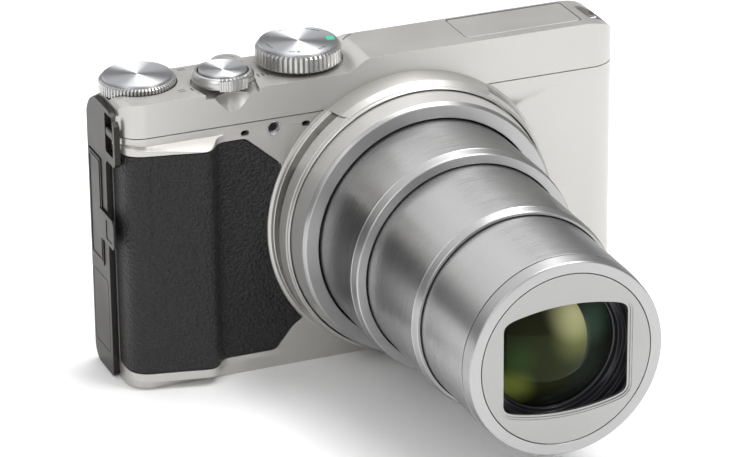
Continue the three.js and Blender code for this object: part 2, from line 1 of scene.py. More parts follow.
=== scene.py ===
"""Looks of a compact travel-zoom digital camera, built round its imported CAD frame."""
import math

import bmesh
import bpy
from mathutils import Matrix, Vector


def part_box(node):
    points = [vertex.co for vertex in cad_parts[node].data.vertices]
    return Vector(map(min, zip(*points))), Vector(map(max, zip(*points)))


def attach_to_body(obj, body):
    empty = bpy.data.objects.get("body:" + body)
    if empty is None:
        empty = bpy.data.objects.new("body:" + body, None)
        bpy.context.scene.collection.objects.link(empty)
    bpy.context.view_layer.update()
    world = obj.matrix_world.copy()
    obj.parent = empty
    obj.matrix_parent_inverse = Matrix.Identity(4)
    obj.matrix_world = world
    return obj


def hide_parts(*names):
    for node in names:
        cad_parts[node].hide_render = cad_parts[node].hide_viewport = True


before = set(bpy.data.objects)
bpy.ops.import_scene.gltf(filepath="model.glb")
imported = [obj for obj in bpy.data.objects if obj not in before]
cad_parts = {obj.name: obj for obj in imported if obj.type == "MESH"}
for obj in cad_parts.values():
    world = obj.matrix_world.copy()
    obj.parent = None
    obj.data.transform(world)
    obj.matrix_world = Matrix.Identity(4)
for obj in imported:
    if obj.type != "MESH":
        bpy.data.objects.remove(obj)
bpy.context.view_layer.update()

MM = 0.001               # every shape below is made in millimetres, then scaled to metres

# ------------------------------------------------------------------ camera and stage
VIEW_AZIMUTH = math.radians(-22.155)
VIEW_ELEVATION = math.radians(23.766)
VIEW_ROLL = math.radians(-0.50)
VIEW_DISTANCE = 0.82911
VIEW_TARGET = Vector((0.005842, 0.0, 0.020409))
FOCAL_LENGTH = 186.57
SKY_BASE = 0.30
# Each glow in the sky: its direction, the cosines from it where the glow starts and is full, its strength.
SKY = [((0, 0, 1), 0.55, 0.9, 0.55),
       ((-0.30, 0.75, 0.55), 0.82, 0.97, 0.8),
       ((-0.5, -0.6, 0.6), 0.6, 0.95, 0.25)]
# Each lamp: its place, what it points at, its size in metres, watts.
LAMPS = {
    "overhead": ((0.3, 0.3, 1.2), (0, 0, 0.03), (0.7, 1.0), 11),
    "front_left": ((-1.0, -0.75, 0.85), (0, 0, 0.03), (0.6, 0.9), 4),
    "front_right": ((0.75, -1.38, 0.30), (0, -0.08, 0.03), (0.8, 0.55), 1.3),
    "edge": ((0.5, -0.5, 1.1), (0, 0, 0.03), (0.4, 0.35), 7),
}
FLOOR_REACH = 1500       # millimetres
FLOOR_TOP = -0.02


def add_object(name, data):
    made = bpy.data.objects.new(name, data)
    bpy.context.scene.collection.objects.link(made)
    return made


def add_camera():
    forward = Vector((
        -math.sin(VIEW_AZIMUTH) * math.cos(VIEW_ELEVATION),
        math.cos(VIEW_AZIMUTH) * math.cos(VIEW_ELEVATION),
        -math.sin(VIEW_ELEVATION)))
    level = Vector((math.cos(VIEW_AZIMUTH), math.sin(VIEW_AZIMUTH), 0))
    upward = level.cross(forward)
    right = level * math.cos(VIEW_ROLL) + upward * math.sin(VIEW_ROLL)
    up = right.cross(forward)
    data = bpy.data.cameras.new("view")
    data.lens = FOCAL_LENGTH
    data.sensor_width = 36
    data.clip_start = 0.01
    camera = add_object("view", data)
    turned = Matrix((right, up, -forward)).transposed().to_4x4()
    camera.matrix_world = Matrix.Translation(VIEW_TARGET - forward * VIEW_DISTANCE) @ turned
    bpy.context.scene.camera = camera


def add_lamp(name, place, target, size, watts):
    data = bpy.data.lights.new(name, "AREA")
    data.shape = "RECTANGLE"
    data.size, data.size_y = size
    data.energy = watts
    lamp = add_object(name, data)
    lamp.location = place
    lamp.rotation_euler = (Vector(target) - Vector(place)).to_track_quat("-Z", "Y").to_euler()


def fill(node, **sockets):
    """Sets a node's inputs, written with _ for a space."""
    for key, value in sockets.items():
        node.inputs[key.replace("_", " ")].default_value = value
    return node


def add_world():
    """Grey room under a softbox: dim at the horizon, bright overhead and to the upper left."""
    world = bpy.data.worlds.new("studio")
    world.use_nodes = True
    bpy.context.scene.world = world
    nodes, links = world.node_tree.nodes, world.node_tree.links
    coordinates = nodes.new("ShaderNodeTexCoord")
    shade = None
    for direction, start, end, level in SKY:
        toward = nodes.new("ShaderNodeVectorMath")
        toward.operation = "DOT_PRODUCT"
        toward.inputs[1].default_value = Vector(direction).normalized()
        links.new(coordinates.outputs["Generated"], toward.inputs[0])
        glow = fill(nodes.new("ShaderNodeMapRange"), From_Min=start, From_Max=end, To_Max=level)
        glow.interpolation_type = "SMOOTHSTEP"
        links.new(toward.outputs["Value"], glow.inputs["Value"])
        total = nodes.new("ShaderNodeMath")
        total.inputs[1].default_value = SKY_BASE
        if shade:
            links.new(shade, total.inputs[1])
        links.new(glow.outputs["Result"], total.inputs[0])
        shade = total.outputs[0]
    links.new(shade, nodes["Background"].inputs["Color"])


# ------------------------------------------------------------------ frame sizes, millimetres
def box_mm(node):
    low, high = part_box(node)
    return [value / MM for value in (low.x, high.x, low.y, high.y, low.z, high.z)]


def middle_of(node):
    x0, x1, y0, y1, z0, z1 = box_mm(node)
    return (x0 + x1) / 2, (y0 + y1) / 2, (z0 + z1) / 2


LENS_X, _, LENS_Z = middle_of("barrel_3")
BODY_LEFT, BODY_RIGHT, BODY_FRONT, BODY_BACK, _, HUMP_Z = box_mm("top_cover")
SEAM_Z = box_mm("top_cover")[4]
SEAM_Y = box_mm("rear_shell")[2]
DECK_Z = HUMP_Z - 2.6
BARREL_FRONT = [box_mm(node)[2] for node in ("barrel_1", "barrel_2", "front_ring")]
BARREL_REAR = [box_mm(node)[3] for node in ("barrel_1", "barrel_2", "barrel_3")]
BARREL_RADIUS = [(box_mm(f"barrel_{i}")[5] - box_mm(f"barrel_{i}")[4]) / 2 for i in (1, 2, 3)]
NAME_RING_FRONT = box_mm("name_ring")[2]
FLANGE_FRONT = box_mm("lens_flange")[2]
GRIP_LOW, GRIP_HIGH = box_mm("grip_skin")[4:]
DOOR = box_mm("battery_door")[:4]
TOP_CONTROLS = ["mode_dial", "command_dial", "shutter_button", "power_button"]
BACK_BUTTONS = ["record_button", "play_button", "menu_button", "delete_button"]

# Places of the CAD model that no box gives.
WALL = 1.6               # thickness of the casing
SEAM_GAP = 0.2           # between the shells of the casing
LENS_WELL = 28.6         # radius of the casing's opening for the lens
SOCKET_BAY = (-60, -50, -2.2, 3.4, 26, 48)
AF_LAMP = (-22.3, 53.8)
MICROPHONES = (-28.65, -15.3)
TRIPOD = (25, -5)
HINGE = (52.0, 8.4)
HINGE_RADIUS = 2.9

# Marks printed on the deck: middle in x and y, half sizes in x and y.
DECK_MARKS = [(-36.6, 0.3, 0.8, 0.14), (-36.6, 1.0, 0.8, 0.14), (-40.4, -10.0, 0.75, 0.16),
              (-40.4, -10.9, 0.75, 0.16), (-38.3, -10.6, 0.2, 0.7), (-23.2, -8.6, 0.2, 0.8),
              (-22.2, -8.6, 0.2, 0.8), (-21.2, -8.6, 0.2, 0.8)]
# Marks round the mode dial: angle, half width, half length.
DIAL_MARKS = [(-12, 1.1, 0.8), (35, 0.9, 0.15), (48, 0.9, 0.15), (88, 0.75, 0.14), (100, 0.75, 0.14),
              (140, 0.5, 0.5), (180, 0.8, 0.15), (192, 0.8, 0.15), (238, 0.65, 0.14), (250, 0.35, 0.35),
              (292, 0.6, 0.14), (302, 0.3, 0.3)]

# Each painted reflection on the front element: centre from the lens axis, inner and outer radius, colour.
INNER_PAINTED_REFLECTIONS = [((-11.0, -8.2), 0.2, 7.8, (0.25, 0.30, 0.06)), ((-8.5, -0.8), 0.2, 5.0, (0.018, 0.045, 0.012)),
               ((4.4, 3.0), 0.2, 7.5, (0.13, 0.14, 0.055)), ((4.4, 8.4), 0.4, 8.0, (0.56, 0.56, 0.29))]
OUTER_PAINTED_REFLECTIONS = [((8.4, 5.0), 0.5, 6.5, (0.046, 0.078, 0.058))]
OUTER_GLASS = (0.018, 0.022, 0.017)
INNER_EDGE = ((-7.4, 2.2), 13.35, 13.6)     # the inner element's outline: centre, inner and outer radius
EDGE_TINT = (0.4, 0.4, 0.4, 1)              # turned metal reflects less along its outline


# ------------------------------------------------------------------ materials
def node_material(name, colour, metallic, roughness, build, **sockets):
    """Principled material whose colour, roughness and bump come from procedural nodes."""
    made = bpy.data.materials.new(name)
    made.use_nodes = True
    nodes, links = made.node_tree.nodes, made.node_tree.links
    shader = nodes["Principled BSDF"]
    fill(shader, Base_Color=(*colour, 1), Metallic=metallic, Roughness=roughness, **sockets)
    build(nodes, links, shader, colour, roughness)
    return made


def object_coordinates(nodes, links, scale=(1, 1, 1)):
    coordinates = nodes.new("ShaderNodeTexCoord")
    mapping = fill(nodes.new("ShaderNodeMapping"), Scale=[s / MM for s in scale])
    links.new(coordinates.outputs["Object"], mapping.inputs["Vector"])
    return mapping.outputs["Vector"]


def noise(nodes, links, vector, scale, detail=3.0, rough=0.5):
    texture = fill(nodes.new("ShaderNodeTexNoise"), Scale=scale, Detail=detail, Roughness=rough)
    links.new(vector, texture.inputs["Vector"])
    return texture.outputs["Fac"]


def spread(nodes, links, value, low, high):
    """The usual span of a noise, 0.3 to 0.7, widened to low and high."""
    span = fill(nodes.new("ShaderNodeMapRange"), From_Min=0.3, From_Max=0.7, To_Min=low, To_Max=high)
    links.new(value, span.inputs["Value"])
    return span.outputs["Result"]


def tint(nodes, links, shader, value, colour, amount):
    """Base colour varied by value between darker and lighter."""
    mix = nodes.new("ShaderNodeMix")
    mix.data_type = "RGBA"
    darker, lighter = [(*[min(1, c * by) for c in colour], 1) for by in (1 - amount, 1 + amount)]
    fill(mix, A=darker, B=lighter)
    links.new(value, mix.inputs["Factor"])
    links.new(mix.outputs["Result"], shader.inputs["Base Color"])


def bump(nodes, links, shader, height, depth_mm):
    relief = fill(nodes.new("ShaderNodeBump"), Distance=depth_mm * MM)
    links.new(height, relief.inputs["Height"])
    links.new(relief.outputs["Normal"], shader.inputs["Normal"])
    return relief


def flake(grain, relief, varied=0.03, rough_varied=0.05):
    """Metallic paint: fine flake in colour, roughness and relief."""
    def build(nodes, links, shader, colour, roughness):
        vector = object_coordinates(nodes, links)
        fine = noise(nodes, links, vector, grain, 2)
        broad = noise(nodes, links, vector, 0.05, 3)
        tint(nodes, links, shader, fine, colour, varied)
        span = spread(nodes, links, broad, roughness - rough_varied, roughness + rough_varied)
        links.new(span, shader.inputs["Roughness"])
        bump(nodes, links, shader, fine, relief)
    return build


def turned_metal(axis, grain=6.0, relief=0.002, varied=0.06):
    """Lathe-turned metal: grooves run round the axis and the highlight spreads across them."""
    stretch = {"X": (1, 0.02, 0.02), "Y": (0.02, 1, 0.02), "Z": (0.02, 0.02, 1)}[axis]

    def build(nodes, links, shader, colour, roughness):
        vector = object_coordinates(nodes, links, stretch)
        grooves = noise(nodes, links, vector, grain, 4, 0.7)
        tint(nodes, links, shader, grooves, colour, varied)
        span = spread(nodes, links, grooves, roughness * 0.85, roughness * 1.15)
        links.new(span, shader.inputs["Roughness"])
        bump(nodes, links, shader, grooves, relief)
        tangent = nodes.new("ShaderNodeTangent")
        tangent.direction_type = "RADIAL"
        tangent.axis = axis
        links.new(tangent.outputs["Tangent"], shader.inputs["Tangent"])
        shader.inputs["Anisotropic Rotation"].default_value = 0.25
    return build


def leather(nodes, links, shader, colour, roughness):
    """Pebbled leatherette: rounded cells with creases between them, over a fine grain; the creases get
    painted shade.
    """
    vector = object_coordinates(nodes, links)
    cells = fill(nodes.new("ShaderNodeTexVoronoi"), Scale=1.5, Randomness=1.0)
    warp = nodes.new("ShaderNodeVectorMath")
    warp.operation = "MULTIPLY_ADD"
    sway = fill(nodes.new("ShaderNodeTexNoise"), Scale=1.1)
    links.new(vector, sway.inputs["Vector"])
    links.new(sway.outputs["Color"], warp.inputs[0])
    warp.inputs[1].default_value = (0.45, 0.45, 0.45)
    links.new(vector, warp.inputs[2])
    links.new(warp.outputs[0], cells.inputs["Vector"])
    grain = noise(nodes, links, vector, 5.0, 3, 0.6)
    pebble = nodes.new("ShaderNodeMath")
    pebble.operation = "MULTIPLY_ADD"
    pebble.inputs[1].default_value = 0.5
    links.new(grain, pebble.inputs[0])
    links.new(cells.outputs["Distance"], pebble.inputs[2])
    relief = bump(nodes, links, shader, pebble.outputs[0], 0.42)
    relief.invert = True
    # Base colour darker towards the cell edges: painted shade in the creases.
    shade = spread(nodes, links, cells.outputs["Distance"], 1.0, 0.0)
    tint(nodes, links, shader, shade, colour, 0.22)
    span = spread(nodes, links, grain, roughness - 0.07, roughness + 0.07)
    links.new(span, shader.inputs["Roughness"])


def distance_span(nodes, links, place, centre, near, far, smooth=True):
    """0 inside the near radius and 1 beyond the far one, about a point of the front element."""
    distance = nodes.new("ShaderNodeVectorMath")
    distance.operation = "DISTANCE"
    distance.inputs[1].default_value = (LENS_X + centre[0], 0, LENS_Z + centre[1])
    links.new(place, distance.inputs[0])
    span = fill(nodes.new("ShaderNodeMapRange"), From_Min=near, From_Max=far)
    span.interpolation_type = "SMOOTHSTEP" if smooth else "LINEAR"
    links.new(distance.outputs["Value"], span.inputs["Value"])
    return span.outputs["Result"]


def painted_reflection_spots(nodes, links, place, spots, colour):
    """Painted reflections: spots of colour laid over a base colour."""
    last = None
    for centre, near, far, spot in spots:
        mix = nodes.new("ShaderNodeMix")
        mix.data_type = "RGBA"
        fill(mix, A=(*spot, 1), B=(*colour, 1))
        links.new(distance_span(nodes, links, place, centre, near, far), mix.inputs["Factor"])
        if last:
            links.new(last, mix.inputs["B"])
        last = mix.outputs["Result"]
    return last


def coating_with_painted_reflections(nodes, links, shader, colour, roughness):
    """Coated front element: painted reflections in the base colour, parted by the edge of an inner element.
    """
    flat = nodes.new("ShaderNodeVectorMath")
    flat.operation = "MULTIPLY"
    flat.inputs[1].default_value = (1 / MM, 0, 1 / MM)
    links.new(nodes.new("ShaderNodeTexCoord").outputs["Object"], flat.inputs[0])
    place = flat.outputs[0]
    parted = nodes.new("ShaderNodeMix")
    parted.data_type = "RGBA"
    links.new(distance_span(nodes, links, place, *INNER_EDGE, False), parted.inputs["Factor"])
    # Painted reflections inside and outside the inner element's edge.
    links.new(painted_reflection_spots(nodes, links, place, INNER_PAINTED_REFLECTIONS, colour), parted.inputs["A"])
    links.new(painted_reflection_spots(nodes, links, place, OUTER_PAINTED_REFLECTIONS, OUTER_GLASS), parted.inputs["B"])
    links.new(parted.outputs["Result"], shader.inputs["Base Color"])
    broad = noise(nodes, links, object_coordinates(nodes, links), 0.2, 2)
    links.new(spread(nodes, links, broad, roughness, roughness * 1.5), shader.inputs["Roughness"])


SILVER = node_material("silver_paint", (0.52, 0.51, 0.49), 0.72, 0.34, flake(5.0, 0.004, 0.05))
DARK_SILVER = node_material("dark_silver_paint", (0.035, 0.033, 0.030), 0.85, 0.38, flake(5.0, 0.004, 0.06))
BARREL = node_material("turned_barrel", (0.54, 0.54, 0.54), 1.0, 0.30, turned_metal("Y"), Anisotropic=0.55,
                       Specular_Tint=EDGE_TINT)
PLATE = node_material("satin_plate", (0.375, 0.375, 0.37), 0.9, 0.32, flake(6.0, 0.003, 0.03))
DIAL_SIDE = node_material("knurled_metal", (0.50, 0.50, 0.49), 1.0, 0.30, flake(4.0, 0.003, 0.06))
DIAL_TOP = node_material("spun_metal", (0.575, 0.58, 0.60), 1.0, 0.52, turned_metal("Z", 9, 0.001, 0.05),
                         Anisotropic=0.93)
LEATHER = node_material("leatherette", (0.0105, 0.0105, 0.0118), 0.0, 0.44, leather, Specular_IOR_Level=0.42)
BLACK = node_material("black_plastic", (0.016, 0.016, 0.017), 0.0, 0.42, flake(3.5, 0.01, 0.15))
GLOSS_BLACK = node_material("gloss_black", (0.006, 0.006, 0.007), 0.0, 0.12, flake(1.5, 0.001, 0.2, 0.02))
GREY = node_material("grey_plastic", (0.09, 0.09, 0.095), 0.0, 0.5, flake(3.0, 0.01, 0.12))
STEEL = node_material("steel", (0.55, 0.55, 0.56), 1.0, 0.28, flake(3.0, 0.004, 0.06))
BRASS = node_material("brass", (0.62, 0.44, 0.18), 1.0, 0.3, flake(3.0, 0.004, 0.08))
BOARD = node_material("circuit_board", (0.02, 0.13, 0.05), 0.0, 0.45, flake(1.2, 0.01, 0.2))
# The front element's base colour carries painted reflections.
GLASS_WITH_PAINTED_REFLECTIONS = node_material("coated_glass_painted_reflections", (0.016, 0.018, 0.008), 0.0, 0.05, coating_with_painted_reflections,
                       IOR=1.24, Specular_Tint=(0.62, 0.80, 0.40, 1))
SATIN_BLACK = node_material("satin_black", (0.014, 0.013, 0.017), 0.0, 0.3, turned_metal("Y", 4, 0.002, 0.2))
WINDOW = node_material("clear_window", (0.75, 0.76, 0.74), 0.0, 0.08, flake(0.8, 0.001, 0.05, 0.02),
                       Coat_Weight=0.5)
# A darker copy of the silver paint for the flange's wall: painted shade.
SHADED_FLANGE_WALL = node_material("flange_wall_painted_shade", (0.30, 0.295, 0.27), 0.9, 0.34, turned_metal("Y"))
BAND = node_material("turned_band", (0.43, 0.43, 0.43), 0.9, 0.32, turned_metal("Y", 5, 0.0015, 0.04),
                     Anisotropic=0.7, Specular_Tint=EDGE_TINT)
CONE = node_material("satin_cone", (0.46, 0.455, 0.44), 0.4, 0.36, turned_metal("Y", 5, 0.0015, 0.04))
SCREEN = node_material("screen_glass", (0.008, 0.009, 0.012), 0.0, 0.05, flake(0.2, 0.0, 0.2, 0.01),
                       Coat_Weight=1.0)
INK = node_material("printed_ink", (0.09, 0.09, 0.09), 0.0, 0.5, flake(4.0, 0.003, 0.2))
GREEN_INK = node_material("green_ink", (0.03, 0.42, 0.26), 0.0, 0.45, flake(4.0, 0.003, 0.1))
RED = node_material("red_mark", (0.55, 0.03, 0.02), 0.0, 0.4, flake(4.0, 0.003, 0.1))
FLOOR = node_material("pale_floor", (0.93, 0.93, 0.93), 0.0, 0.6, flake(0.01, 0.0, 0.01, 0.02))

CAD_LOOKS = {
    SILVER: ["front_shell", "top_cover", "lens_flange", "name_ring", "battery_door", "flash_head"],
    DARK_SILVER: ["side_plate", "connector_cover", "strap_lug_left"],
    BARREL: ["barrel_1", "barrel_2", "barrel_3", "front_ring"],
    PLATE: ["front_plate"],
    DIAL_SIDE: ["zoom_lever", "mode_dial", "command_dial", "selector_ring", "shutter_button", "power_button"],
    LEATHER: ["grip_skin", "thumb_rest"],
    BLACK: ["rear_shell", "battery_latch", "lens_tube", "cam_ring", "lens_holder", "monitor_housing",
            "hinge_arm", "memory_card", "record_button", "play_button", "menu_button", "delete_button",
            "ok_button", "flash_capacitor"]
    + [f"barrier_{half}_{i}" for half in ("upper", "lower") for i in (1, 2, 3)],
    GREY: ["battery_holder", "battery", "image_sensor", "zoom_lens_group", "focus_lens_group"],
    GLOSS_BLACK: ["monitor_glass"],
    GLASS_WITH_PAINTED_REFLECTIONS: ["front_lens", "af_lamp"],
    WINDOW: ["flash_window"],
    STEEL: ["strap_lug_right", "tripod_socket", "battery_door_pin", "hinge_pin",
            "zoom_motor", "side_sockets"],
    BRASS: ["zoom_gear", "motor_pinion"],
    BOARD: ["main_board"],
}
for look, names in CAD_LOOKS.items():
    for node_name in names:
        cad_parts[node_name].data.materials.clear()
        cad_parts[node_name].data.materials.append(look)


# ------------------------------------------------------------------ outlines
def arc(u, v, radius, start, end, steps=12, radius_v=None):
    """Points of an arc about (u, v); angles in degrees."""
    points = []
    for i in range(steps + 1):
        angle = math.radians(start + (end - start) * i / steps)
        points.append((u + radius * math.cos(angle), v + (radius_v or radius) * math.sin(angle)))
    return points


def polar(centre, radius, angle):
    return centre[0] + radius * math.cos(angle), centre[1] + radius * math.sin(angle)


def curve(p0, p1, p2, p3, steps):
    """Points of a cubic curve, without its first point."""
    points = []
    for i in range(1, steps + 1):
        t = i / steps
        s = 1 - t
        points.append(tuple(s ** 3 * a + 3 * s * s * t * b + 3 * s * t * t * c + t ** 3 * d
                            for a, b, c, d in zip(p0, p1, p2, p3)))
    return points


def filleted(profile, radius=0.15, steps=3, closed=True):
    """The profile with each corner rounded; the ends of an open profile stay."""
    out = []
    count = len(profile)
    for i, corner in enumerate(profile):
        here = Vector(corner)
        if not closed and i in (0, count - 1):
            out.append(tuple(here))
            continue
        back = Vector(profile[i - 1]) - here
        ahead = Vector(profile[(i + 1) % count]) - here
        reach = min(radius, back.length * 0.45, ahead.length * 0.45)
        start, end = here + back.normalized() * reach, here + ahead.normalized() * reach
        for k in range(steps + 1):
            t = k / steps
            out.append(tuple(start * (1 - t) ** 2 + here * 2 * t * (1 - t) + end * t * t))
    return out


# ------------------------------------------------------------------ meshes
def new_object(bm):
    bmesh.ops.remove_doubles(bm, verts=bm.verts, dist=1e-5)
    bmesh.ops.recalc_face_normals(bm, faces=bm.faces)
    mesh = bpy.data.meshes.new("shape")
    bm.to_mesh(mesh)
    bm.free()
    return add_object("shape", mesh)


def prism(outline, axis, low, high):
    """Outline carried along an axis: Z takes X, Y points; Y takes X, Z; X takes Y, Z."""
    place = {"Z": lambda u, v, w: (u, v, w),
             "Y": lambda u, v, w: (u, w, v),
             "X": lambda u, v, w: (w, u, v)}[axis]
    bm = bmesh.new()
    ends = [[bm.verts.new(place(u, v, w)) for u, v in outline] for w in (low, high)]
    for ring_points in ends:
        bm.faces.new(ring_points)
    count = len(outline)
    for i in range(count):
        j = (i + 1) % count
        bm.faces.new((ends[0][i], ends[0][j], ends[1][j], ends[1][i]))
    return new_object(bm)


def block(x0, x1, y0, y1, z0, z1):
    return prism([(x0, y0), (x1, y0), (x1, y1), (x0, y1)], "Z", z0, z1)


def panel(u0, u1, v0, v1, r, axis, low, high):
    """Rectangle with corners of radius r, carried along an axis."""
    outline = (arc(u1 - r, v0 + r, r, -90, 0, 8) + arc(u1 - r, v1 - r, r, 0, 90, 8)
               + arc(u0 + r, v1 - r, r, 90, 180, 8) + arc(u0 + r, v0 + r, r, 180, 270, 8))
    return prism(outline, axis, low, high)


def lathe(profile, axis, centre, steps, closed=True):
    """Profile of (radius, height) turned about the axis through centre."""
    bm = bmesh.new()
    rings = []
    for radius, height in profile:
        if radius < 1e-6:
            u, v = centre[:2]
            point = (u, v, height) if axis == "Z" else (u, height, v)
            rings.append([bm.verts.new(point)] * steps)
            continue
        ring_points = []
        for i in range(steps):
            u, v = polar(centre, radius, 2 * math.pi * i / steps)
            ring_points.append(bm.verts.new((u, v, height) if axis == "Z" else (u, height, v)))
        rings.append(ring_points)
    pairs = list(zip(rings, rings[1:]))
    if closed:
        pairs.append((rings[-1], rings[0]))
    for low, high in pairs:
        for i in range(steps):
            j = (i + 1) % steps
            corners = list(dict.fromkeys((low[i], low[j], high[j], high[i])))
            if len(corners) > 2:
                bm.faces.new(corners)
    return new_object(bm)


def disc(radius, low, high, axis, centre, steps, edge=0.0):
    profile = [(0, low), (radius, low), (radius, high), (0, high)]
    if edge:
        profile = filleted(profile, edge, 4, closed=False)
    return lathe(profile, axis, centre, steps, closed=False)


def combine(target, operation, *tools):
    """Joins, cuts or intersects, and removes the tools."""
    for tool in tools:
        step = target.modifiers.new("step", "BOOLEAN")
        step.operation = operation
        step.solver = "EXACT"
        step.object = tool
        bake(target)
        bpy.data.objects.remove(tool)
    return target


def cut(target, *tools):
    return combine(target, "DIFFERENCE", *tools)


def join(target, *tools):
    return combine(target, "UNION", *tools)


def meet(target, *tools):
    return combine(target, "INTERSECT", *tools)


def bake(target):
    graph = bpy.context.evaluated_depsgraph_get()
    mesh = bpy.data.meshes.new_from_object(target.evaluated_get(graph))
    old = target.data
    target.modifiers.clear()
    target.data = mesh
    bpy.data.meshes.remove(old)


def soften(target, width, segments=2, angle=35):
    """Rounds the sharp edges."""
    step = target.modifiers.new("edges", "BEVEL")
    step.width = width
    step.segments = segments
    step.limit_method = "ANGLE"
    step.angle_limit = math.radians(angle)
    step.use_clamp_overlap = True
    bake(target)
    return target


def finish(target, suffix, look, body, node, smooth=35):
    """Scales a piece to metres, shades it and ties it to its body and CAD node."""
    target.name = f"{node}_{suffix}"
    target.data.name = target.name
    target.data.transform(target.matrix_world)
    target.matrix_world.identity()
    for i, one in enumerate(look if isinstance(look, list) else [look]):
        room_for(target, i)
        target.data.materials[i] = one
    for face in target.data.polygons:
        face.use_smooth = True
    target.data.set_sharp_from_angle(angle=math.radians(smooth))
    step = target.modifiers.new("normals", "WEIGHTED_NORMAL")
    step.keep_sharp = True
    step.weight = 100
    bake(target)
    for vertex in target.data.vertices:
        vertex.co *= MM
    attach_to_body(target, body)
    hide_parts(node)


def room_for(target, index):
    while len(target.data.materials) <= index:
        target.data.materials.append(None)


def turn_to(target, angle, place):
    """Turns a piece about the vertical, then moves it."""
    target.data.transform(Matrix.Translation((place[0], place[1], 0)) @ Matrix.Rotation(angle, 4, "Z"))
    return target


def attach(target, *parts):
    """Adds parts to the target's mesh, keeping their material slots."""
    bm = bmesh.new()
    bm.from_mesh(target.data)
    for part in parts:
        bm.from_mesh(part.data)
        room_for(target, max(0, len(part.data.materials) - 1))
        bpy.data.objects.remove(part)
    bm.to_mesh(target.data)
    bm.free()
    return target


def paint(target, index, wanted=lambda face: True):
    """Gives the faces that pass the test, or all of them, another material slot."""
    room_for(target, index)
    for face in target.data.polygons:
        if wanted(face):
            face.material_index = index


# ------------------------------------------------------------------ lens
LENS = (LENS_X, LENS_Z)


def lens_ring(node, profile, looks, body, fillet=0.12, painted=None):
    made = lathe(filleted(profile, fillet), "Y", LENS, 160)
    if painted:
        paint(made, 1, painted)
    finish(made, "turned", looks, body, node, 40)


def radius_about_lens(face):
    return math.hypot(face.center.x - LENS_X, face.center.z - LENS_Z)


def build_flange():
    """Stepped rim below the cover seam, its wall given painted shade; above it the rim runs up as one plain
    cone.
    """
    inside = [(29.75, -21.05), (29.62, -21.2), (29.5, -21.2), (29.4, -21.5), (29.1, FLANGE_FRONT),
              (29.1, -17.6), (27.6, -17.6), (27.6, -12.8)]
    stepped = [(28.3, -12.8), (28.3, -14.9), (31.3, -14.9), (31.3, -15.1), (30.75, -15.3), (30.4, -15.9),
               (30.2, -16.0), (30.2, -18.6)] + inside
    plain = [(28.3, -12.8), (28.3, -14.9), (31.0, -14.9), (30.35, -19.4)] + inside
    flange = lathe(filleted(stepped, 0.1), "Y", LENS, 160)
    cut(flange, block(-40, 60, -30, 0, -20, 0.05), block(-40, 60, -30, 0, SEAM_Z, 90))
    # The wall below the seam gets the darker silver copy: painted shade.
    paint(flange, 1, lambda face: -18.55 < face.center.y < -15.95 and radius_about_lens(face) > 30)
    paint(flange, 2, lambda face: face.center.y < -18.6 and radius_about_lens(face) > 29.55)
    upper = lathe(filleted(plain, 0.25), "Y", LENS, 160)
    cut(upper, block(-40, 60, -30, 0, -20, SEAM_Z))
    attach(flange, upper)
    finish(flange, "turned", [SILVER, SHADED_FLANGE_WALL, CONE], "body", "lens_flange", 40)


def build_barrel(index, bore, band, nose, fillet):
    """Barrel whose nose, of (radius, depth) points, is parted from its side by a fine groove."""
    front, rear, radius = BARREL_FRONT[index], BARREL_REAR[index], BARREL_RADIUS[index]
    side = [(bore, rear), (radius, rear), (radius, front + band + 0.15), (radius - 0.1, front + band + 0.1),
            (radius - 0.1, front + band), (radius, front + band - 0.05)]
    name = f"barrel_{index + 1}"
    lens_ring(name, side + [(reach, front + depth) for reach, depth in nose], [BARREL, BAND], name,
              fillet=fillet, painted=lambda face: face.center.y < front + band)


def build_lens():
    build_flange()
    lens_ring("name_ring", [
        (28.75, -17.9), (28.75, -21.9), (28.15, -26.4), (27.6, NAME_RING_FRONT), (24.85, NAME_RING_FRONT),
        (24.85, -26.5), (27.3, -26.3), (27.3, -17.9),
    ], [BAND, CONE], "body", 0.2,
        lambda face: face.center.y > -26.3 and radius_about_lens(face) > 28)
    build_barrel(0, 23.3, 2.4, [(24.15, 0.2), (23.95, 0), (22.15, 0), (22.15, 1.6), (23.3, 1.6)], 0.1)
    build_barrel(1, 20.85, 1.9, [(21.5, 0.2), (21.35, 0), (20.85, 0)], 0.06)
    front, rear, radius = BARREL_FRONT[2], BARREL_REAR[2], BARREL_RADIUS[2]
    lens_ring("barrel_3", [
        (19.3, rear), (radius, rear), (radius, front + 3.4), (19.3, front + 3.4),
    ], BARREL, "barrel_3", fillet=0.05)
    lens_ring("front_ring", [
        (19.2, front + 3.2), (radius - 0.05, front + 3.2), (radius - 0.3, front + 0.25),
        (radius - 0.5, front), (17.95, front), (17.95, front + 1.1), (19.2, front + 1.1),
    ], BAND, "barrel_3", fillet=0.12)
    build_front_plate(front)
    lens_ring("lens_holder", [
        (13.05, -83), (19.05, -83), (19.05, -90.8), (17.2, -90.8), (17.1, -90.3), (16.0, -90.1),
        (15.8, -89.3), (14.8, -89.1), (14.6, -88.2), (13.7, -88.0), (13.4, -87.1), (13.05, -86.9),
    ], SATIN_BLACK, "barrel_3", 0.1)
    dome = [(12.95 * i / 24, -91.0 + 4.2 * (i / 24) ** 2) for i in range(25)]
    lens = lathe([(0, -84), (12.95, -84)] + dome[::-1], "Y", LENS, 96, closed=False)
    finish(lens, "polished", GLASS_WITH_PAINTED_REFLECTIONS, "barrel_3", "front_lens", 40)


